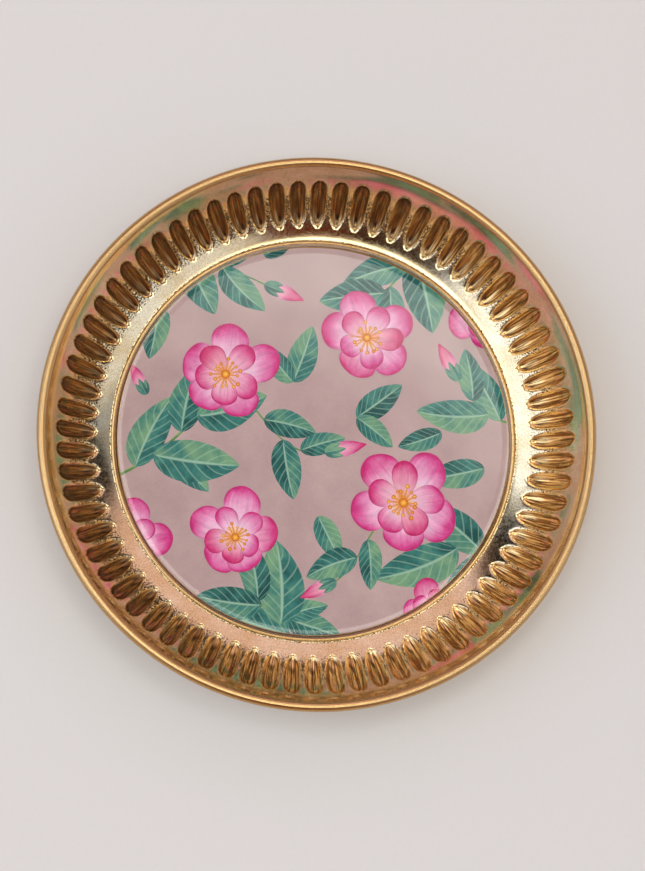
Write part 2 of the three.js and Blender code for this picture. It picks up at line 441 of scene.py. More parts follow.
def dish_ring(dish, shape, station, below, fine):
    """One ring of corners round the dish. Each is (angle, radius, height, across, stain)."""
    if station.t is None:
        count = PLAIN_COLUMNS if fine else PLAIN_COLUMNS // 2
        columns = [(-shape.pitch / 2 + shape.pitch * i / count, 0.0, 0.0) for i in range(count)]
    else:
        width, depth_share = flute_taper(station.t)
        half = width * shape.flute_half_angle
        shares = FINE_COLUMNS if fine else COARSE_COLUMNS
        lip = shares[-1] * half
        land = (lip + shape.pitch / 2) / 2
        angles = [-shape.pitch / 2, -land] if fine else [-shape.pitch / 2]
        angles += [share * half for share in shares]
        if fine:
            angles.append(land)
        columns = [(a, a / half, flute_hollow(a / half, depth_share)) for a in angles]
    ring = []
    for flute in range(dish.flute_count):
        for a, across, hollow in columns:
            sunk = hollow * dish.flute_depth + (dish.sheet if below else 0.0)
            place = station.point - upper_side(station.heading) * sunk
            turn = flute * shape.pitch + a + dish.flute_turn
            stain = BACK_STAIN if below and station.t is not None else hollow
            ring.append((turn, place.x, place.y, held(across, ACROSS_LIMIT), stain))
    return ring


def stitch(here, here_start, there, there_start):
    """Faces between two rings: quads where they have as many corners, else triangles that are found
    by walking round both at once. A ring of one corner closes the skin at the axis."""
    if len(here) == len(there):
        count = len(here)
        return [
            (
                here_start + i,
                there_start + i,
                there_start + (i + 1) % count,
                here_start + (i + 1) % count,
            )
            for i in range(count)
        ]

    def middle_after(ring, i):
        turns = [ring[k % len(ring)][0] + 2 * math.pi * (k // len(ring)) for k in (i, i + 1)]
        return sum(turns) / 2

    here_steps = len(here) if len(here) > 1 else 0
    there_steps = len(there) if len(there) > 1 else 0
    faces = []
    h = 0
    n = 0
    while h < here_steps or n < there_steps:
        on_there = h == here_steps or (
            n < there_steps and middle_after(there, n) <= middle_after(here, h)
        )
        corner = here_start + h % len(here)
        facing = there_start + n % len(there)
        if on_there:
            n += 1
            faces.append((corner, facing, there_start + n % len(there)))
        else:
            h += 1
            faces.append((corner, facing, here_start + h % len(here)))
    return faces


def skin(rings):
    """Corners and faces of the closed skin through a list of rings."""
    corners = [
        (radius * math.cos(turn), radius * math.sin(turn), height)
        for ring in rings
        for turn, radius, height, *_ in ring
    ]
    faces = []
    start = 0
    for here, there in zip(rings, rings[1:]):
        faces += stitch(here, start, there, start + len(here))
        start += len(here)
    return corners, faces


def build_dish(dish):
    """The pressed sheet, with what the finish needs to know stored at each corner: where it lies
    across a flute, how many millimetres past the crease it is, and how deep it is pressed or, on
    the back, how much stain it holds."""
    shape = dish_shape(dish)
    upper = dish_stations(dish, shape, True)
    lower = list(reversed(dish_stations(dish, shape, False)))
    rings = [[(0.0, 0.0, dish.sheet, 0.0, 0.0)]]
    rings += [dish_ring(dish, shape, station, False, True) for station in upper]
    rings += [dish_ring(dish, shape, station, True, False) for station in lower]
    rings.append([(0.0, 0.0, 0.0, 0.0, 0.0)])
    distances = [upper[0].past_crease, *(s.past_crease for s in upper)]
    distances += [*(s.past_crease for s in lower), lower[-1].past_crease]
    corners, faces = skin(rings)
    mesh = bpy.data.meshes.new("pressed_dish")
    mesh.from_pydata(corners, [], faces)
    pressing = mesh.attributes.new("pressing", "FLOAT_VECTOR", "POINT")
    pressing.data.foreach_set(
        "vector",
        [
            value
            for ring, distance in zip(rings, distances)
            for *_, across, stain in ring
            for value in (across, distance / MM, stain)
        ],
    )
    smooth(mesh, sharp_above=50)
    return mesh


def build_turned(name, outline, columns):
    """A closed solid turned round the plate's axis. Its outline runs from the axis out along the
    top and back along the bottom, as (radius, height) pairs."""
    turns = [2 * math.pi * i / columns for i in range(columns)]
    rings = [
        [(0.0, 0.0, height)] if radius == 0 else [(turn, radius, height) for turn in turns]
        for radius, height in outline
    ]
    corners, faces = skin(rings)
    mesh = bpy.data.meshes.new(name)
    mesh.from_pydata(corners, [], faces)
    return mesh


# How far apart the marks in the brass lie.
BLOTCH = 11 * MM  # clouds of worn and of clean metal
PEEL = 0.35 * MM  # orange peel of the pressed sheet
SPECK = 0.42 * MM  # specks of dried polish, 0.3 to 0.6 mm across
GRAIN = 0.9 * MM  # fine grain, drawn as coarse as it needs to show
WAVE = 9 * MM  # waviness of the sheet
TICK = 0.6 * MM  # ticks that the rolling wheel left across the rim

# How high the same marks stand, in millimetres.
DRAW_HEIGHT = 0.05
GRAIN_HEIGHT = 0.012
WAVE_HEIGHT = 0.05
TICK_HEIGHT = 0.016

# How much rougher the metal is on the rolled rim, in the flutes and on the specks.
RIM_DULLING = 0.02
FLUTE_DULLING = 0.05
SPECK_DULLING = 0.35

LIT_SIDE_AZIMUTH = 325  # degrees from +X, the side whose flutes get a painted golden highlight
LIT_SIDE_FADE = (-0.35, 0.6)  # from where to where that grows, as shares of the plate's radius

# Nearly all of a noise texture's values lie in here.
NOISE_SPAN = (0.3, 0.7)

# Where the painted warm reflection on the rolled rim and on the bead fades out, in millimetres
# along the section: either side of the wall's end, and past the crease.
RIM_FADE = 0.4
BEAD_FADE = (-0.3, -0.8)

# The orange peel's noise levels and the brightness that they give.
PEEL_LEVELS = (0.32, 0.6)
PEEL_VALUES = (0.72, 1.0)

# The draw lines' pace across a flute, along it in millimetres, and round the plate.
DRAW_PACE = (6.5, 0.11, 60.0)
SCRATCH_LEVEL = 0.47  # level of the draw lines' noise that is traced as dark scratches
SCRATCH_FADE = (0.004, 0.02)  # distance from that level over which a scratch fades
SCRATCH_COVER = 0.8

# Where the stain in a flute starts and is full, and where the specks beside it stop, as shares of
# the flute's depth.
IN_FLUTE = (0.22, 0.52)
BESIDE_FLUTE = (0.15, 0.5)
STAIN_COVER = 0.95  # how much of the metal's colour the stain hides at most

# Where the painted highlight on the flutes' lips lies by depth share, and where specks gather by
# the share of a stretch of wall, along the two bends partly as painted shade.
LIP_HIGHLIGHT_STOPS = ((0.01, 0), (0.07, 0.8), (0.28, 0.8), (0.5, 0))
ALONG_FLUTE = ((0, 0), (0.12, 0.66), (0.28, 0.85), (0.42, 1), (0.58, 1), (0.72, 0.5), (0.85, 0))
# The dark lines along the crease and the rim's bend are partly residue, partly painted shade.
CREASE_LINE = ((0.34, 0), (0.43, 0.9), (0.5, 0.8), (0.57, 0.25), (0.7, 0))
ROLL_LINE = ((0.32, 0), (0.48, 0.55), (0.58, 0.55), (0.72, 0))
SPECK_LEVELS = (0.74, 0.455)  # noise level that a speck must pass, on clean metal and where stain and painted shade gather most
SPECK_FADE = 0.05  # noise level over which a speck's edge fades
SPECKS_LEFT = (1.2, 0.8)  # share of the specks left away from the side with the painted golden flutes, and on that side
BELOW_FLUTE = 1.5  # how far below the flutes' feet the specks start, in millimetres
CREASE_REACH = 2.0  # half of the stretch round the crease that CREASE_LINE is for
ROLL_REACH = 1.0  # half of the stretch round the wall's end that ROLL_LINE is for


def polished_brass(dish, finish):
    """Cartridge brass sheet, pressed, polished and aged a little. To the eye it is pale gold with
    sharp, slightly wavy reflections, brown specks where polish dried, and draw lines in the
    flutes."""
    shape = dish_shape(dish)
    flute_start = dish.flute_foot / MM
    flute_end = (dish.flute_foot + shape.flute_length) / MM
    wall_end = shape.wall_length / MM
    material, tree = new_material("Polished pressed brass")
    place = add(tree, "TexCoord", out="Object")
    turn = add(tree, "TexGradient", [place], out="Fac", gradient_type="RADIAL")
    pressing = add(tree, "Attribute", out="Vector", attribute_name="pressing")
    across, past_crease, hollow = add(tree, "SeparateXYZ", [pressing]).node.outputs

    # A darker golden tint on the rolled rim and the bead paints in a warm reflection, and orange
    # peel mottles all of the metal.
    blotches = add(
        tree, "TexNoise", {"Vector": place, "Scale": 1 / BLOTCH, "Detail": 4, "Roughness": 0.6}
    )
    toned = add(tree, "ValToRGB", [blotches], ((0.35, finish.worn), (0.65, finish.bright)))
    on_rim = add(tree, "MapRange", [past_crease, wall_end - RIM_FADE, wall_end + RIM_FADE], **SOFT)
    on_bead = add(tree, "MapRange", [past_crease, *BEAD_FADE], **SOFT)
    # gathered and lacquered carry the painted warm reflection on the rim and the bead.
    gathered = add(tree, "Math", [on_rim, on_bead], operation="MAXIMUM")
    lacquered = add(tree, "Mix", {0: gathered, MIX_A: toned, MIX_B: finish.warm_reflection}, **COLOURS)
    peel = add(
        tree, "TexNoise", {"Vector": place, "Scale": 1 / PEEL, "Detail": 2, "Roughness": 0.7}
    )
    mottle = add(tree, "MapRange", [peel, *PEEL_LEVELS, *PEEL_VALUES])
    clean = add(tree, "HueSaturation", {"Color": lacquered, "Value": mottle})

    # Draw lines streak the brown in the flutes. The flutes on one side are brighter, with golden
    # draw lines: a painted highlight where light falls on them.
    paced = [
        add(tree, "Math", [part, pace], operation="MULTIPLY")
        for part, pace in zip((across, past_crease, turn), DRAW_PACE)
    ]
    lines_place = add(tree, "CombineXYZ", paced)
    lines = add(
        tree, "TexNoise", {"Vector": lines_place, "Scale": 1, "Detail": 2.5, "Roughness": 0.6}
    )
    brown = add(tree, "ValToRGB", [lines], ((0.43, finish.flute), (0.68, finish.flute_streak)))
    lit_streaks = add(
        tree, "ValToRGB", [lines], ((0.42, finish.lit_flute), (0.6, finish.lit_flute_streak))
    )
    lit_side_way = direction(LIT_SIDE_AZIMUTH, 0) / dish.diameter * 2
    lit_side_offset = add(
        tree, "VectorMath", [place, lit_side_way], out="Value", operation="DOT_PRODUCT"
    )
    lit_side = add(tree, "MapRange", [lit_side_offset, *LIT_SIDE_FADE], **SOFT)
    streaked = add(tree, "Mix", {0: lit_side, MIX_A: brown, MIX_B: lit_streaks}, **COLOURS)
    past_level = add(tree, "Math", [lines, SCRATCH_LEVEL], operation="SUBTRACT")
    off_scratch = add(tree, "Math", [past_level], operation="ABSOLUTE")
    scratch = add(tree, "MapRange", [off_scratch, *SCRATCH_FADE, SCRATCH_COVER, 0.0])
    scratched = add(tree, "Mix", {0: scratch, MIX_A: streaked, MIX_B: finish.tarnish_and_shade}, **COLOURS)

    # Painted highlight: the flutes' lips get a bright brass colour along their rounded edges.
    lip_highlight = add(tree, "ValToRGB", [hollow], LIP_HIGHLIGHT_STOPS)
    lip_highlighted = add(tree, "Mix", {0: lip_highlight, MIX_A: clean, MIX_B: finish.lip}, **COLOURS)
    in_flute = add(tree, "MapRange", [hollow, *IN_FLUTE, 0.0, STAIN_COVER], **SOFT)
    darkened = add(tree, "Mix", {0: in_flute, MIX_A: lip_highlighted, MIX_B: scratched}, **COLOURS)

    # Specks of dried polish gather beside the flutes and round their feet. Along the two bends they
    # crowd into dark lines, partly residue and partly painted shade in the creases.
    lined = []
    for start, end, stops in (
        (flute_start - BELOW_FLUTE, flute_end, ALONG_FLUTE),
        (-CREASE_REACH, CREASE_REACH, CREASE_LINE),
        (wall_end - ROLL_REACH, wall_end + ROLL_REACH, ROLL_LINE),
    ):
        stretch = add(tree, "MapRange", [past_crease, start, end])
        lined.append(add(tree, "ValToRGB", [stretch], stops))
    along_flute, crease_line, roll_line = lined
    beside = add(tree, "MapRange", [hollow, *BESIDE_FLUTE, 1.0, 0.0], **SOFT)
    left_on = add(tree, "MapRange", [lit_side, 0.0, 1.0, *SPECKS_LEFT])
    dried_on = add(tree, "Math", [beside, along_flute], operation="MULTIPLY")
    crowded = add(tree, "Math", [dried_on, left_on], operation="MULTIPLY")
    on_bends = add(tree, "Math", [roll_line, crease_line], operation="MAXIMUM")
    stain_and_shade = add(tree, "Math", [crowded, on_bends], operation="MAXIMUM")
    specks = add(
        tree, "TexNoise", {"Vector": place, "Scale": 1 / SPECK, "Detail": 2, "Roughness": 0.7}
    )
    threshold = add(tree, "MapRange", [stain_and_shade, 0.0, 1.0, *SPECK_LEVELS])
    above = add(tree, "Math", [specks, threshold], operation="SUBTRACT")
    tarnish_and_shade = add(tree, "MapRange", [above, 0.0, SPECK_FADE, 0.0, STAIN_COVER], **SOFT)
    tint = add(tree, "Mix", {0: tarnish_and_shade, MIX_A: darkened, MIX_B: finish.tarnish_and_shade}, **COLOURS)

    grain = add(
        tree, "TexNoise", {"Vector": place, "Scale": 1 / GRAIN, "Detail": 4, "Roughness": 0.65}
    )
    span = (finish.roughness * 0.75, finish.roughness * 1.6)
    roughness = add(tree, "MapRange", [grain, 0.3, 0.75, *span])
    for share, dulling in (
        (on_rim, RIM_DULLING),
        (in_flute, FLUTE_DULLING),
        (tarnish_and_shade, SPECK_DULLING),
    ):
        roughness = add(tree, "Math", [share, dulling, roughness], operation="MULTIPLY_ADD")

    # The bump's height in millimetres: the sheet's waves, the draw lines, the grain and the ticks.
    draw_share = add(tree, "Math", [hollow, DRAW_HEIGHT], operation="MULTIPLY")
    tick_share = add(tree, "Math", [on_rim, TICK_HEIGHT], operation="MULTIPLY")
    tick_count = round(2 * math.pi * shape.rim_centre.x / TICK)
    tick_turn = add(
        tree, "Math", [turn, 2 * math.pi * tick_count, grain], operation="MULTIPLY_ADD"
    )
    ticks = add(tree, "Math", [tick_turn], operation="SINE")
    waves = add(tree, "TexNoise", {"Vector": place, "Scale": 1 / WAVE, "Detail": 1})
    height = add(tree, "Math", [waves, WAVE_HEIGHT], operation="MULTIPLY")
    for mark, share in ((lines, draw_share), (grain, GRAIN_HEIGHT), (ticks, tick_share)):
        height = add(tree, "Math", [mark, share, height], operation="MULTIPLY_ADD")
    bump = add(tree, "Bump", {"Height": height, "Strength": 1, "Distance": MM})
    shader = add(
        tree,
        "BsdfPrincipled",
        {"Base Color": tint, "Metallic": 1, "Roughness": roughness, "Normal": bump},
    )
    add(tree, "OutputMaterial", {"Surface": shader})
    return material


# The resin's surface is level to about a hundredth of a millimetre over a centimetre.
SWELL = 14 * MM
SWELL_HEIGHT = 0.03 * MM


def clear_resin():
    """Clear casting resin, poured and self-levelled. To the eye it is a hard, wet gloss over the
    print, with a bright line where it climbs to the bead."""
    material, tree = new_material("Clear casting resin")
    place = add(tree, "TexCoord", out="Object")
    swell = add(tree, "TexNoise", {"Vector": place, "Scale": 1 / SWELL, "Detail": 0})
    bump = add(tree, "Bump", {"Height": swell, "Strength": 1, "Distance": SWELL_HEIGHT})
    mirror = add(tree, "Fresnel", {"IOR": 1.5, "Normal": bump})
    inside = add(tree, "NewGeometry", out="Backfacing")
    outside = add(tree, "Math", [1, inside], operation="SUBTRACT")
    share = add(tree, "Math", [mirror, outside], operation="MULTIPLY")
    clear = add(tree, "BsdfTransparent", {"Color": "#FFFFFF"})
    gloss = add(tree, "BsdfGlossy", {"Color": "#FFFFFF", "Roughness": 0.04, "Normal": bump})
    shader = add(tree, "MixShader", [share, clear, gloss])
    add(tree, "OutputMaterial", {"Surface": shader})
    return material


BRUSH_MARK = 4 * MM
BRUSH_MARK_HEIGHT = 0.03 * MM


def glue_film():
    """Dried craft glue, brushed on. To the eye it is a matt, off-white film with brush marks."""
    material, tree = new_material("Dried craft glue")
    place = add(tree, "TexCoord", out="Object")
    marks = add(tree, "TexNoise", {"Vector": place, "Scale": 1 / BRUSH_MARK, "Detail": 5})
    tint = add(tree, "ValToRGB", [marks], ((0.35, "#D8D1BE"), (0.65, "#EAE6DA")))
    bump = add(tree, "Bump", {"Height": marks, "Strength": 1, "Distance": BRUSH_MARK_HEIGHT})
    shader = add(
        tree, "BsdfPrincipled", {"Base Color": tint, "Roughness": 0.6, "IOR": 1.46, "Normal": bump}
    )
    add(tree, "OutputMaterial", {"Surface": shader})
    return material


# Inks, in the order of the printed disc's material slots.
GROUND, PETAL, LEAF, STEM, POLLEN, PAPER = range(6)

PAPER_TOOTH = 0.4 * MM
PAPER_FIBRE = 0.8 * MM
GROUND_CLOUD = 16 * MM
WASH = 5 * MM


def ink(tree, tint):
    """Shader of a printed ink: matt, because the resin wets it and takes its gloss away. The
    paper's tooth lightens and darkens it a little."""
    place = add(tree, "TexCoord", out="Object")
    tooth = add(tree, "TexNoise", {"Vector": place, "Scale": 1 / PAPER_TOOTH, "Detail": 2})
    value = add(tree, "MapRange", [tooth, *NOISE_SPAN, 0.965, 1.035])
    toothed = add(tree, "HueSaturation", {"Color": tint, "Value": value})
    shader = add(
        tree,
        "BsdfPrincipled",
        {"Base Color": toothed, "Roughness": 0.6, "IOR": 1.5, "Specular IOR Level": 0.15},
    )
    add(tree, "OutputMaterial", {"Surface": shader})


def stroke_parts(tree):
    """Along, across and tone of the brush stroke at a point, and a wandering watercolour wash."""
    place = add(tree, "TexCoord", out="Object")
    wash = add(
        tree, "TexNoise", {"Vector": place, "Scale": 1 / WASH, "Detail": 3, "Roughness": 0.55}
    )
    stroke = add(tree, "Attribute", out="Vector", attribute_name="stroke")
    return (*add(tree, "SeparateXYZ", [stroke]).node.outputs, wash)


def ground_ink(colours):
    """Pigment ink on stiff paper: a flat dusty pink with the faint clouds of a washed ground."""
    material, tree = new_material("Pigment ink ground")
    place = add(tree, "TexCoord", out="Object")
    clouds = add(
        tree,
        "TexNoise",
        {"Vector": place, "Scale": 1 / GROUND_CLOUD, "Detail": 5, "Roughness": 0.6},
    )
    washed = ((0.32, colours.ground_wash), (0.68, colours.ground))
    ink(tree, add(tree, "ValToRGB", [clouds], washed))
    return material


def petal_ink(colours):
    """Pigment ink, laid as watercolour petals: yellow at the base, then pale, then deep rose at the
    edges, with fine veins along them."""
    material, tree = new_material("Pigment ink petals")
    along, across, tone, wash = stroke_parts(tree)
    side = add(tree, "Math", [across], operation="ABSOLUTE")
    rim = add(tree, "Math", [side, 3], operation="POWER")
    reach = add(tree, "Math", [rim, 0.22, along], operation="MULTIPLY_ADD")
    drift = add(tree, "MapRange", [wash, 0.0, 1.0, -0.3, 0.24])
    depth = add(tree, "Math", [reach, drift], operation="ADD")
    tones = (
        (0.02, colours.petal_heart),
        (0.18, "#F7CBA8"),
        (0.34, colours.petal_pale),
        (0.52, "#F2B4CF"),
        (0.72, colours.petal_rose),
        (0.88, "#DC4C92"),
        (0.98, colours.petal_deep),
    )
    tint = add(tree, "ValToRGB", [depth], tones)
    warm = add(tree, "MapRange", [tone, 0.1, 1.0, 0.0, 0.65])
    coral = {0: warm, MIX_A: tint, MIX_B: colours.petal_coral}
    toned = add(tree, "Mix", coral, blend_type="MULTIPLY", **COLOURS)
    paced = [
        add(tree, "Math", [part, pace], operation="MULTIPLY")
        for part, pace in ((across, 7), (along, 1.2), (tone, 9))
    ]
    vein_place = add(tree, "CombineXYZ", paced)
    veins = add(
        tree, "TexNoise", {"Vector": vein_place, "Scale": 1, "Detail": 2, "Roughness": 0.6}
    )
    value = add(tree, "MapRange", [veins, *NOISE_SPAN, 0.86, 1.1])
    edge = add(tree, "MapRange", [side, 0.86, 1.0, 1.0, 0.82])
    shade = add(tree, "Math", [value, edge], operation="MULTIPLY")
    ink(tree, add(tree, "HueSaturation", {"Color": toned, "Value": shade}))
    return material


def leaf_ink(colours):
    """Pigment ink, laid as watercolour leaves: dark teal at the base and on one side, light green
    on the other, with a pale midrib and side veins."""
    material, tree = new_material("Pigment ink leaves")
    along, across, tone, wash = stroke_parts(tree)
    side = add(tree, "Math", [across], operation="ABSOLUTE")
    light = add(tree, "MapRange", [across, -0.12, 0.12, -0.09, 0.16], **SOFT)
    for part, weight in ((wash, 0.95), (tone, 0.13), (along, 0.14)):
        light = add(tree, "Math", [part, weight, light], operation="MULTIPLY_ADD")
    tones = ((0.3, colours.leaf_dark), (0.54, colours.leaf_teal), (0.86, colours.leaf_green))
    tint = add(tree, "ValToRGB", [light], tones)
    midrib = add(tree, "MapRange", [side, 0.03, 0.1, 0.8, 0.0])
    slant = add(tree, "Math", [side, -0.26, along], operation="MULTIPLY_ADD")
    slant_turn = add(tree, "Math", [slant, 44], operation="MULTIPLY")
    wave = add(tree, "Math", [slant_turn], operation="SINE")
    side_veins = add(tree, "MapRange", [wave, 0.72, 1.0, 0.0, 0.42])
    vein = add(tree, "Math", [midrib, side_veins], operation="MAXIMUM")
    ink(tree, add(tree, "Mix", {0: vein, MIX_A: tint, MIX_B: colours.leaf_vein}, **COLOURS))
    return material


def stem_ink(colours):
    """Pigment ink, laid as stems: one soft brush line, darker on one side."""
    material, tree = new_material("Pigment ink stems")
    _, across, _, wash = stroke_parts(tree)
    shade = add(tree, "Math", [across, 0.25, wash], operation="MULTIPLY_ADD")
    ink(tree, add(tree, "ValToRGB", [shade], ((0.3, "#55833F"), (0.7, colours.stem))))
    return material


def pollen_ink(colours):
    """Pigment ink, laid as stamens: small dabs, orange where they overlap."""
    material, tree = new_material("Pigment ink stamens")
    _, across, tone, _ = stroke_parts(tree)
    side = add(tree, "Math", [across], operation="ABSOLUTE")
    shade = add(tree, "Math", [tone, 0.5, side], operation="MULTIPLY_ADD")
    tones = ((0.0, "#FBE08A"), (0.55, colours.pollen), (1.0, "#D9772B"))
    ink(tree, add(tree, "ValToRGB", [shade], tones))
    return material


def paper_stock():
    """Stiff coated paper, unprinted at its edge and back: matt white with a little fibre."""
    material, tree = new_material("Coated paper stock")
    place = add(tree, "TexCoord", out="Object")
    fibre = add(tree, "TexNoise", {"Vector": place, "Scale": 1 / PAPER_FIBRE, "Detail": 4})
    tint = add(tree, "ValToRGB", [fibre], ((0.3, "#E3DFD8"), (0.7, "#F1EEE8")))
    shader = add(tree, "BsdfPrincipled", {"Base Color": tint, "Roughness": 0.75, "IOR": 1.5})
    add(tree, "OutputMaterial", {"Surface": shader})
    return material


def petal_width(u):
    """Half width of a petal along its midrib: a narrow base, a broad shoulder and a soft point."""
    return 1.62 * u**0.75 * (1 - u**2.8) ** 0.62 if u < 1 else 0.0


def leaf_width(u):
    """Half width of a leaf along its midrib: broad near the stalk and drawn out to a point."""
    return 2.5 * u**0.58 * (1 - u) ** 0.82 if u < 1 else 0.0


def bud_width(u):
    """Half width of a closed bud: round below and pinched above."""
    return 2.2 * u**0.5 * (1 - u) ** 0.75 if u < 1 else 0.0


def way(heading):
    """Unit vector at a heading in radians, on the face of the print."""
    return Vector((math.cos(heading), math.sin(heading)))


def held(value, limit):
    """A value kept between minus a limit and that limit."""
    return max(-limit, min(limit, value))


def blade(strokes, kind, root, heading, reach, half_width, profile, bend=0.0, tone=0.0, steps=26):
    """Adds a petal, leaf or bud: a stroke that widens by its profile along a bent midrib. Lengths
    here and in all strokes are millimetres on the face of the print."""
    axis = way(heading)
    side = Vector((-axis.y, axis.x))
    root = Vector(root)

    def midrib(u):
        return bend * reach * u * u

    def edge(u, sign):
        off = midrib(u) + sign * half_width * profile(u)
        return root + axis * reach * u + side * off

    def place(x, y):
        from_root = Vector((x, y)) - root
        u = min(1.0, max(0.0, from_root.dot(axis) / reach))
        half = max(half_width * profile(u), 0.05 * half_width)
        return u, held((from_root.dot(side) - midrib(u)) / half, 1.0)

    shares = [(1 - math.cos(math.pi * i / steps)) / 2 for i in range(steps + 1)]
    outline = [edge(u, -1) for u in shares] + [edge(u, 1) for u in reversed(shares[1:-1])]
    strokes.append(SimpleNamespace(kind=kind, outline=outline, place=place, tone=tone))


def bezier(points, t):
    """Point on a cubic curve through four control points."""
    a, b, c, d = (Vector(p) for p in points)
    s = 1 - t
    return a * s**3 + b * 3 * s * s * t + c * 3 * s * t * t + d * t**3


STEM_THINNING = 0.35  # how much thinner a stem is at its end
DAB_CORNERS = 10


def stem(strokes, points, thickness, steps=22):
    """Adds a stem along a cubic curve, a little thinner towards its end."""
    line = [bezier(points, i / steps) for i in range(steps + 1)]

    def side_at(i):
        along = line[min(i + 1, steps)] - line[max(i - 1, 0)]
        return Vector((-along.y, along.x)).normalized()

    def place(x, y):
        spot = Vector((x, y))
        nearest = min(range(steps + 1), key=lambda i: (line[i] - spot).length_squared)
        off = (spot - line[nearest]).dot(side_at(nearest)) / (thickness / 2)
        return nearest / steps, held(off, 1.0)

    halves = [thickness / 2 * (1 - STEM_THINNING * i / steps) for i in range(steps + 1)]
    left = [here + side_at(i) * halves[i] for i, here in enumerate(line)]
    right = [here - side_at(i) * halves[i] for i, here in enumerate(line)]
    outline = right + left[::-1]
    strokes.append(SimpleNamespace(kind=STEM, outline=outline, place=place, tone=0.0))


def dab(strokes, centre, radius, tone):
    """Adds a small round dab of ink."""
    centre = Vector(centre)
    outline = [centre + way(2 * math.pi * i / DAB_CORNERS) * radius for i in range(DAB_CORNERS)]

    def place(x, y):
        return 0.5, min(1.0, (Vector((x, y)) - centre).length / radius)

    strokes.append(SimpleNamespace(kind=POLLEN, outline=outline, place=place, tone=tone))


# The whorls of an open blossom, the outer one first: reach and half width of its petals as shares
# of the blossom's width, and turn in degrees. Their order lets each petal lie over a neighbour.
WHORLS = ((0.52, 0.2, 0), (0.36, 0.13, 36))
PETAL_ORDER = (0, 2, 4, 1, 3)
STAMENS = 15

# A closed bud's petals as (spread, tone), and the spread of the leaves of its calyx.
BUD_PETALS = ((0.32, 0.2), (-0.32, -0.2), (0.0, 0.5))
CALYX = (0.55, -0.55, 0.0)


def blossom(strokes, centre, across, turn, tilt, chance):
    """Adds an open blossom with five outer and five inner petals and a ring of stamens. A tilt
    shortens the petals that lean towards the viewer."""
    centre = Vector(centre)
    tilt_heading = math.radians(turn + 200)
    for whorl, (reach, half, offset) in enumerate(WHORLS):
        for i in PETAL_ORDER:
            heading = math.radians(turn + offset + 72 * i + chance.uniform(-5, 5))
            lean = 1 - tilt * (0.5 + 0.5 * math.cos(heading - tilt_heading))
            out = across * reach * lean * chance.uniform(0.95, 1.05)
            half_width = across * half * chance.uniform(0.94, 1.06)
            bend = chance.uniform(-0.1, 0.1)
            tone = chance.uniform(-0.6, 0.35) + 0.3 * whorl
            blade(strokes, PETAL, centre, heading, out, half_width, petal_width, bend, tone)
    for i in range(STAMENS):
        heading = math.radians(turn + 360 / STAMENS * i + chance.uniform(-6, 6))
        out = across * chance.uniform(0.1, 0.155)
        thin = across * 0.007
        blade(strokes, POLLEN, centre, heading, out, thin, petal_width, tone=0.9, steps=6)
        radius = across * chance.uniform(0.014, 0.021)
        dab(strokes, centre + way(heading) * out, radius, chance.uniform(0.0, 0.8))
    dab(strokes, centre, across * 0.045, 0.5)


def bud(strokes, root, heading, reach, chance):
    """Adds a closed bud: three wrapped petals over a calyx."""
    for spread, tone in BUD_PETALS:
        turn = heading + spread * 0.45
        out = reach * (1 - abs(spread) * 0.4)
        tone += chance.uniform(-0.1, 0.1)
        blade(strokes, PETAL, root, turn, out, reach * 0.15, bud_width, -spread * 0.25, tone)
    for spread in CALYX:
        turn = heading + spread
        out = reach * (0.5 - 0.12 * abs(spread))
        tone = chance.uniform(-0.6, 0.4)
        thin = reach * 0.085
        blade(strokes, LEAF, root, turn, out, thin, leaf_width, -spread * 0.35, tone, steps=14)


# Sprays of the floral: the four control points of a stem, its thickness, and where its leaves
# stand as (share along it, side, length, lean in degrees).
SPRAYS = (
    (
        ((-63, -14), (-48, -10), (-34, 2), (-25, 17)),
        0.9,
        ((0.3, 1, 22, 42), (0.42, -1, 24, 48), (0.62, 1, 19, 40), (0.74, -1, 20, 45)),
    ),
    (
        ((63, -34), (50, -30), (36, -36), (24, -19)),
        0.9,
        ((0.25, 1, 19, 45), (0.4, -1, 22, 42), (0.58, 1, 24, 50), (0.7, -1, 19, 40)),
    ),
    (
        ((-4, -63), (-4, -50), (-22, -48), (-22, -30)),
        0.85,
        ((0.26, 1, 19, 40), (0.36, -1, 23, 50), (0.6, -1, 18, 40), (0.56, 1, 18, 45)),
    ),
    (
        ((30, 63), (34, 50), (18, 46), (15, 31)),
        0.85,
        ((0.3, 1, 23, 45), (0.4, -1, 20, 45), (0.64, 1, 18, 42), (0.7, -1, 19, 48)),
    ),
    (
        ((-25, 17), (-14, 8), (-10, -6), (3, -4)),
        0.6,
        ((0.4, 1, 15, 45), (0.62, -1, 17, 45), (0.8, 1, 13, 40)),
    ),
    (
        ((24, -19), (16, -22), (14, -34), (6, -40)),
        0.6,
        ((0.5, 1, 14, 40), (0.7, -1, 15, 45)),
    ),
    (
        ((63, 6), (54, 2), (46, 8), (41, 17)),
        0.7,
        ((0.4, -1, 19, 45), (0.55, 1, 20, 45), (0.76, -1, 15, 40)),
    ),
    (
        ((-44, 60), (-40, 50), (-30, 52), (-14, 44)),
        0.7,
        ((0.4, -1, 19, 45), (0.6, 1, 15, 45), (0.72, -1, 17, 40)),
    ),
)

BLOSSOMS = (
    # centre, width across, turn in degrees, tilt
    ((-25, 18), 30, 12, 0.22),
    ((25, -18), 32, 50, 0.15),
    ((-22, -28), 27, 80, 0.28),
    ((15, 29), 29, 28, 0.2),
    ((-52, -30), 26, 5, 0.1),
    ((49, 37), 25, 60, 0.15),
    ((33, -49), 20, 35, 0.2),
)

BUDS = (
    # root, heading in degrees, length
    ((3, -4), 12, 12),
    ((6, -40), 205, 11),
    ((41, 17), 118, 12),
    ((-14, 44), -22, 12),
    ((-47, 12), 118, 10),
)

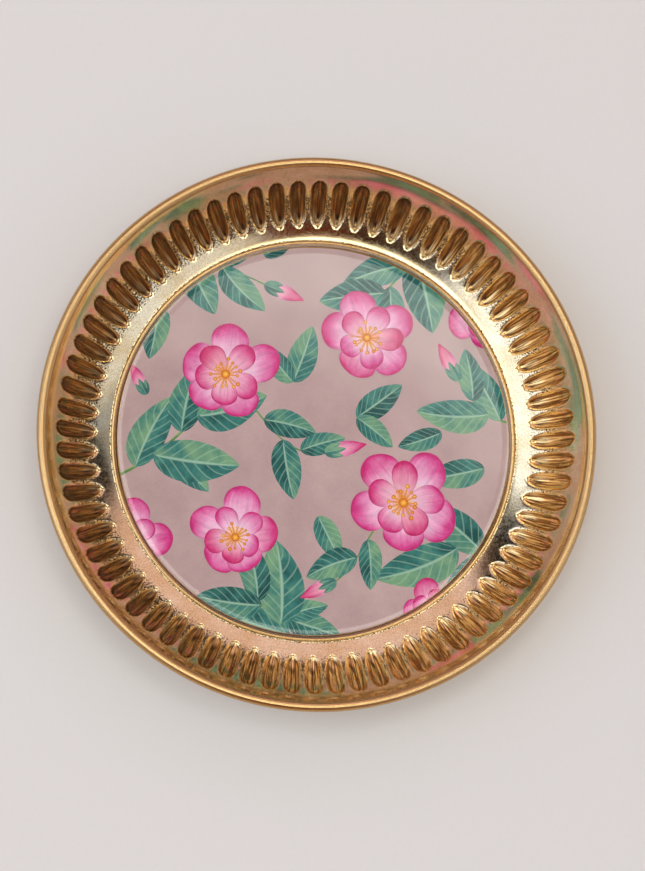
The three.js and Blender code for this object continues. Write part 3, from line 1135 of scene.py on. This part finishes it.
SPRIGS = (
    # root, heading in degrees, length: leaves that fill the corners of the layout
    ((-6, 16), 62, 17),
    ((-6, 16), 128, 13),
    ((-40, -3), -62, 16),
    ((1, -22), -58, 14),
    ((-44, 38), 200, 20),
    ((-44, 38), 268, 16),
    ((48, -8), 190, 17),
    ((-36, -46), 250, 17),
    ((12, 6), 40, 16),
    ((12, 6), -28, 13),
    ((-8, -50), -20, 16),
    ((-8, -50), 30, 12),
    ((36, 2), 200, 13),
    ((-14, 52), 50, 13),
)


def floral():
    """All strokes of the print, the lowest first, with outlines that run anticlockwise. The layout
    and its small irregularities are the same on each run."""
    chance = random.Random(20)
    strokes = []
    for points, thickness, _ in SPRAYS:
        stem(strokes, points, thickness)
    for root, heading, reach in SPRIGS:
        turn = math.radians(heading + chance.uniform(-6, 6))
        bend = chance.uniform(-0.18, 0.18)
        tone = chance.uniform(-1, 1)
        blade(strokes, LEAF, root, turn, reach, reach * 0.25, leaf_width, bend, tone)
    for points, _, leaves in SPRAYS:
        for share, side, reach, lean in leaves:
            root = bezier(points, share)
            ahead = bezier(points, share + 0.02) - root
            turn = math.atan2(ahead.y, ahead.x) + side * math.radians(lean)
            half_width = reach * chance.uniform(0.23, 0.29)
            bend = -side * chance.uniform(0.05, 0.25)
            tone = chance.uniform(-1, 1)
            blade(strokes, LEAF, root, turn, reach, half_width, leaf_width, bend, tone)
    for root, heading, reach in BUDS:
        bud(strokes, root, math.radians(heading), reach, chance)
    for centre, across, turn, tilt in BLOSSOMS:
        blossom(strokes, centre, across, turn, tilt, chance)
    return strokes


GRID_SPACING = 0.9  # millimetres between the points that keep the printed face's faces small
EDGE_CORNERS = 288
SAME_PLACE = 1e-4  # points of the print that are nearer than this, in millimetres, are one


def build_print(radius, bottom, top):
    """The printed disc as one flat sheet of faces. Each face belongs to the topmost stroke over it,
    has that ink's material, and stores where its corners lie in the stroke."""
    strokes = floral()
    rim = radius / MM
    edge = [
        Vector((rim * math.cos(a), rim * math.sin(a)))
        for a in (2 * math.pi * i / EDGE_CORNERS for i in range(EDGE_CORNERS))
    ]
    points = list(edge)
    outlines = [list(range(len(edge)))]
    for stroke in strokes:
        outlines.append(list(range(len(points), len(points) + len(stroke.outline))))
        points += stroke.outline
    rows = int(rim / GRID_SPACING) + 1
    for row in range(-rows, rows + 1):
        for column in range(-rows, rows + 1):
            spot = Vector((column + 0.5 * (row % 2), row * math.sqrt(0.75))) * GRID_SPACING
            if spot.length < rim - GRID_SPACING / 2:
                points.append(spot)
    flat, _, triangles, _, _, over = delaunay_2d_cdt(points, [], outlines, 0, SAME_PLACE, True)

    faces = []
    kinds = []
    stored = []
    for corners, owners in zip(triangles, over):
        if 0 not in owners:
            continue
        top_stroke = max(owners)
        faces.append(tuple(corners))
        if top_stroke == 0:
            kinds.append(GROUND)
            stored += [(0.0, 0.0, 0.0)] * len(corners)
            continue
        stroke = strokes[top_stroke - 1]
        kinds.append(stroke.kind)
        for corner in corners:
            stored.append((*stroke.place(*flat[corner]), stroke.tone))

    used = sorted({corner for face in faces for corner in face})
    number = {old: new for new, old in enumerate(used)}
    faces = [tuple(number[corner] for corner in face) for face in faces]
    corners = [(flat[old].x * MM, flat[old].y * MM, top) for old in used]
    border = open_edges(faces)
    below = {}
    for start, _ in border:
        below[start] = len(corners)
        corners.append((corners[start][0], corners[start][1], bottom))
    middle = len(corners)
    corners.append((0.0, 0.0, bottom))
    for start, end in border:
        faces.append((start, below[start], below[end], end))
        faces.append((below[start], middle, below[end]))
        kinds += [PAPER, PAPER]
        stored += [(0.0, 0.0, 0.0)] * (4 + 3)

    mesh = bpy.data.meshes.new("printed_floral")
    mesh.from_pydata(corners, [], faces)
    mesh.polygons.foreach_set("material_index", kinds)
    attribute = mesh.attributes.new("stroke", "FLOAT_VECTOR", "CORNER")
    attribute.data.foreach_set("vector", [value for triple in stored for value in triple])
    mesh.update()
    return mesh


def open_edges(faces):
    """Edges that only one face has, as (start, end) in that face's direction."""
    seen = {}
    for face in faces:
        for start, end in zip(face, face[1:] + face[:1]):
            seen[(start, end)] = (end, start) in seen
            if (end, start) in seen:
                seen[(end, start)] = True
    return [pair for pair, shared in seen.items() if not shared]


class PlateOperator:
    """What the plate's operators share: they work in any mode and can be undone."""

    bl_options = {"REGISTER", "UNDO"}


class PLATE_OT_build_dish(PlateOperator, bpy.types.Operator):
    """Builds the pressed brass dish, from its floor to its rolled rim"""

    bl_idname = "plate.build_dish"
    bl_label = "Pressed dish"

    def execute(self, context):
        dish = context.scene.plate_dish
        mesh = build_dish(dish)
        material = polished_brass(dish, context.scene.plate_brass)
        piece = new_piece("pressed_dish", mesh, [material])
        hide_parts("brass_dish")
        return {"FINISHED"}


class PLATE_OT_finish_glue(PlateOperator, bpy.types.Operator):
    """Gives the glue film under the print its finish"""

    bl_idname = "plate.finish_glue"
    bl_label = "Glue film"

    def execute(self, context):
        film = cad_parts["print_adhesive"]
        film.data.materials.clear()
        film.data.materials.append(glue_film())
        return {"FINISHED"}


class PLATE_OT_build_print(PlateOperator, bpy.types.Operator):
    """Builds the printed disc with its floral"""

    bl_idname = "plate.build_print"
    bl_label = "Printed disc"

    def execute(self, context):
        inlay = context.scene.plate_inlay
        shape = dish_shape(context.scene.plate_dish)
        colours = context.scene.plate_print
        radius = shape.floor_radius - inlay.print_gap
        mesh = build_print(radius, inlay.print_bottom, inlay.print_top)
        inks = [
            ground_ink(colours),
            petal_ink(colours),
            leaf_ink(colours),
            stem_ink(colours),
            pollen_ink(colours),
            paper_stock(),
        ]
        piece = new_piece("printed_floral", mesh, inks)
        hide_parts("printed_disc")
        return {"FINISHED"}


MENISCUS_STEPS = 14
RESIN_EDGE_STEPS = 4
RESIN_COLUMNS = 288


class PLATE_OT_pour_resin(PlateOperator, bpy.types.Operator):
    """Pours the clear resin over the print, up to the bead"""

    bl_idname = "plate.pour_resin"
    bl_label = "Resin coat"

    def execute(self, context):
        dish = context.scene.plate_dish
        inlay = context.scene.plate_inlay
        shape = dish_shape(dish)
        bottom = inlay.print_top + inlay.resin_gap
        reach = shape.bead_radius + inlay.resin_gap
        inner = dish.bead_inner_slope
        edge = shape.bead_centre + upper_side(inlay.edge_slope) * reach
        rise = edge.y - inlay.resin_top
        outline = [(0.0, inlay.resin_top)]
        for i in range(MENISCUS_STEPS + 1):
            share = i / MENISCUS_STEPS
            outline.append(
                (edge.x - inlay.meniscus * (1 - share), inlay.resin_top + rise * share**2)
            )
        for i in range(1, RESIN_EDGE_STEPS + 1):
            slope = inlay.edge_slope + (inner - inlay.edge_slope) * i / RESIN_EDGE_STEPS
            outline.append(tuple(shape.bead_centre + upper_side(slope) * reach))
        flank_end = outline[-1]
        run = (flank_end[1] - bottom) / math.tan(inner)
        outline.append((flank_end[0] - run, bottom))
        outline.append((0.0, bottom))
        mesh = build_turned("poured_resin", outline, RESIN_COLUMNS)
        smooth(mesh, sharp_above=35)
        piece = new_piece("poured_resin", mesh, [clear_resin()])
        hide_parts("resin_coat")
        return {"FINISHED"}


def facing(place, target, up):
    """Matrix of a camera or lamp at a place that looks at a target."""
    back = (place - target).normalized()
    right = up.cross(back).normalized()
    top = back.cross(right)
    turn = Matrix((right, top, back)).transposed().to_4x4()
    return Matrix.Translation(place) @ turn


def direction(azimuth, elevation):
    """Unit vector at an azimuth from +X and an elevation, both in degrees."""
    a = math.radians(azimuth)
    e = math.radians(elevation)
    return Vector((math.cos(e) * math.cos(a), math.cos(e) * math.sin(a), math.sin(e)))


# Softboxes: azimuth and elevation in degrees, distance, width and height in metres, and brightness
# as a share of the lamps' radiance.
SOFTBOXES = (
    (183, 45, 1.3, 0.98, 1.1, 0.8),
    (341, 45, 1.3, 1.1, 1.1, 0.36),
)

# The ring of light above the sides, seen in the plain band of the wall: where each stretch starts
# and ends, as azimuths in degrees from -X anticlockwise, and its colour. They fade into each other.
SURROUND_SECTORS = (
    (0, 44, "#D4E0F8"),
    (50, 80, "#341A10"),
    (92, 114, "#642C18"),
    (121, 181, "#C2C4CA"),
    (186, 206, "#14140A"),
    (213, 304, "#FADFE8"),
    (308, 324, "#0E0A06"),
    (328, 360, "#D4E0F8"),
)

# The same halfway up, which is seen in the rolled rim.
MIDDLE_SECTORS = (
    (0, 48, "#DCC0A4"),
    (62, 134, "#B48C70"),
    (144, 220, "#E2C6A6"),
    (232, 280, "#6C5644"),
    (294, 360, "#DCBE9E"),
)

# Where the parts of the surround fade into the next one up, as Z of the way towards them.
MIDDLE_FADE = (0.08, 0.24)
RING_FADE = (0.38, 0.5)
OVERHEAD_FADE = (0.905, 0.935)
ZENITH_FADE = (0.968, 0.984)

# The ring starts higher up over one stretch: where that fades in and out, in the same degrees, and
# how much higher in Z.
RAISED_STRETCH = ((44, 54), (108, 122))
RAISED_BY = 0.26


def light_ring(tree, turn, sectors):
    """A colour by azimuth. The sectors fade into each other."""
    stops = [(degrees / 360, code) for start, end, code in sectors for degrees in (start, end)]
    return add(tree, "ValToRGB", [turn], stops)


def studio_world(studio):
    """Soft light from all round. The horizon is as pale as the floor, two rings of coloured sectors
    lie above it, then comes a bright ring, and it is dark straight above, where the camera is."""
    world = bpy.data.worlds.new("Studio surround")
    world.use_nodes = True
    tree = world.node_tree
    tree.nodes.clear()
    towards = add(tree, "TexCoord", out="Generated")
    height = add(tree, "SeparateXYZ", [towards], out="Z")
    turn = add(tree, "TexGradient", [towards], out="Fac", gradient_type="RADIAL")
    fades = [
        add(tree, "MapRange", [turn, start / 360, end / 360], **SOFT)
        for start, end in RAISED_STRETCH
    ]
    stretch = add(tree, "Math", fades, operation="SUBTRACT")
    level = add(tree, "Math", [stretch, -RAISED_BY, height], operation="MULTIPLY_ADD")
    shade = studio.horizon
    for place, fade, above in (
        (height, MIDDLE_FADE, light_ring(tree, turn, MIDDLE_SECTORS)),
        (level, RING_FADE, light_ring(tree, turn, SURROUND_SECTORS)),
        (height, OVERHEAD_FADE, studio.overhead),
        (height, ZENITH_FADE, studio.zenith),
    ):
        share = add(tree, "MapRange", [place, *fade], **SOFT)
        shade = add(tree, "Mix", {0: share, MIX_A: shade, MIX_B: above}, **COLOURS)
    strength = add(tree, "MapRange", [height, *OVERHEAD_FADE, 1, studio.overhead_gain], **SOFT)
    background = add(tree, "Background", {"Color": shade, "Strength": strength})
    add(tree, "OutputWorld", {"Surface": background})
    return world


FLOOR_TOOTH = 1.2 * MM


def floor_finish(studio):
    """Seamless paper roll. To the eye it is a plain pale sweep with the faintest tooth."""
    material, tree = new_material("Seamless background paper")
    place = add(tree, "TexCoord", out="Object")
    tooth = add(tree, "TexNoise", {"Vector": place, "Scale": 1 / FLOOR_TOOTH, "Detail": 2})
    value = add(tree, "MapRange", [tooth, 0.0, 1.0, 0.985, 1.015])
    tint = add(tree, "HueSaturation", {"Color": studio.floor, "Value": value})
    shader = add(tree, "BsdfPrincipled", {"Base Color": tint, "Roughness": 0.8, "IOR": 1.5})
    add(tree, "OutputMaterial", {"Surface": shader})
    return material


FLOOR_RADIUS = 4.0
FLOOR_THICKNESS = 2 * MM
FLOOR_DROP = 0.05 * MM  # keeps the floor clear of the plate's base
FLOOR_COLUMNS = 64
CLIP_START = 0.01


class PLATE_OT_set_stage(PlateOperator, bpy.types.Operator):
    """Sets the floor, the lamps, the surround and the camera"""

    bl_idname = "plate.set_stage"
    bl_label = "Stage"

    def execute(self, context):
        scene = context.scene
        studio = scene.plate_studio
        scene.view_settings.view_transform = "Standard"
        scene.world = studio_world(studio)

        outline = [(0.0, -FLOOR_DROP), (FLOOR_RADIUS, -FLOOR_DROP), (0.0, -FLOOR_THICKNESS)]
        mesh = build_turned("studio_floor", outline, FLOOR_COLUMNS)
        mesh.materials.append(floor_finish(studio))
        floor = bpy.data.objects.new("studio_floor", mesh)
        scene.collection.objects.link(floor)

        up = Vector((0.0, 0.0, 1.0))
        aim = Vector(studio.aim)
        for i, (azimuth, elevation, distance, width, height, share) in enumerate(SOFTBOXES):
            lamp = bpy.data.lights.new(f"softbox_{i + 1}", "AREA")
            lamp.shape = "RECTANGLE"
            lamp.size = width
            lamp.size_y = height
            lamp.energy = studio.lamp_radiance * share * math.pi * width * height
            lamp.color = studio.lamp_tint
            box = bpy.data.objects.new(lamp.name, lamp)
            place = aim + direction(azimuth, elevation) * distance
            box.matrix_world = facing(place, aim, up)
            scene.collection.objects.link(box)

        lens = bpy.data.cameras.new("studio_camera")
        lens.lens = studio.lens
        lens.shift_x = studio.shift_x
        lens.shift_y = studio.shift_y
        lens.clip_start = CLIP_START
        camera = bpy.data.objects.new("studio_camera", lens)
        back = Vector((math.tan(studio.lean_x), math.tan(studio.lean_y), 1.0)).normalized()
        camera.matrix_world = facing(aim + back * studio.distance, aim, Vector((0.0, 1.0, 0.0)))
        scene.collection.objects.link(camera)
        scene.camera = camera
        return {"FINISHED"}


GROUPS = (
    ("plate_dish", DishSizes),
    ("plate_inlay", InlaySizes),
    ("plate_brass", BrassFinish),
    ("plate_print", PrintColours),
    ("plate_studio", StudioSettings),
)

OPERATORS = (
    PLATE_OT_set_stage,
    PLATE_OT_build_dish,
    PLATE_OT_finish_glue,
    PLATE_OT_build_print,
    PLATE_OT_pour_resin,
)


class PLATE_PT_plate(bpy.types.Panel):
    """Sizes, colours and building steps of the plate"""

    bl_idname = "PLATE_PT_plate"
    bl_label = "Fluted brass plate"
    bl_space_type = "VIEW_3D"
    bl_region_type = "UI"
    bl_category = "Plate"

    def draw(self, context):
        layout = self.layout
        for operator in OPERATORS:
            layout.operator(operator.bl_idname)
        for name, group in GROUPS:
            box = layout.box()
            box.label(text=group.__doc__)
            for field in group.__annotations__:
                box.prop(getattr(context.scene, name), field)


def register():
    """Registers the classes and hangs the property groups on the scene."""
    for name, group in GROUPS:
        bpy.utils.register_class(group)
        setattr(bpy.types.Scene, name, bpy.props.PointerProperty(type=group))
    for operator in OPERATORS:
        bpy.utils.register_class(operator)
    bpy.utils.register_class(PLATE_PT_plate)


def unregister():
    """Takes away what register() added."""
    bpy.utils.unregister_class(PLATE_PT_plate)
    for operator in reversed(OPERATORS):
        bpy.utils.unregister_class(operator)
    for name, group in reversed(GROUPS):
        delattr(bpy.types.Scene, name)
        bpy.utils.unregister_class(group)


def main():
    """Builds the stage and every piece."""
    register()
    bpy.ops.plate.set_stage()
    bpy.ops.plate.build_dish()
    bpy.ops.plate.finish_glue()
    bpy.ops.plate.build_print()
    bpy.ops.plate.pour_resin()


if __name__ == "__main__":
    main()
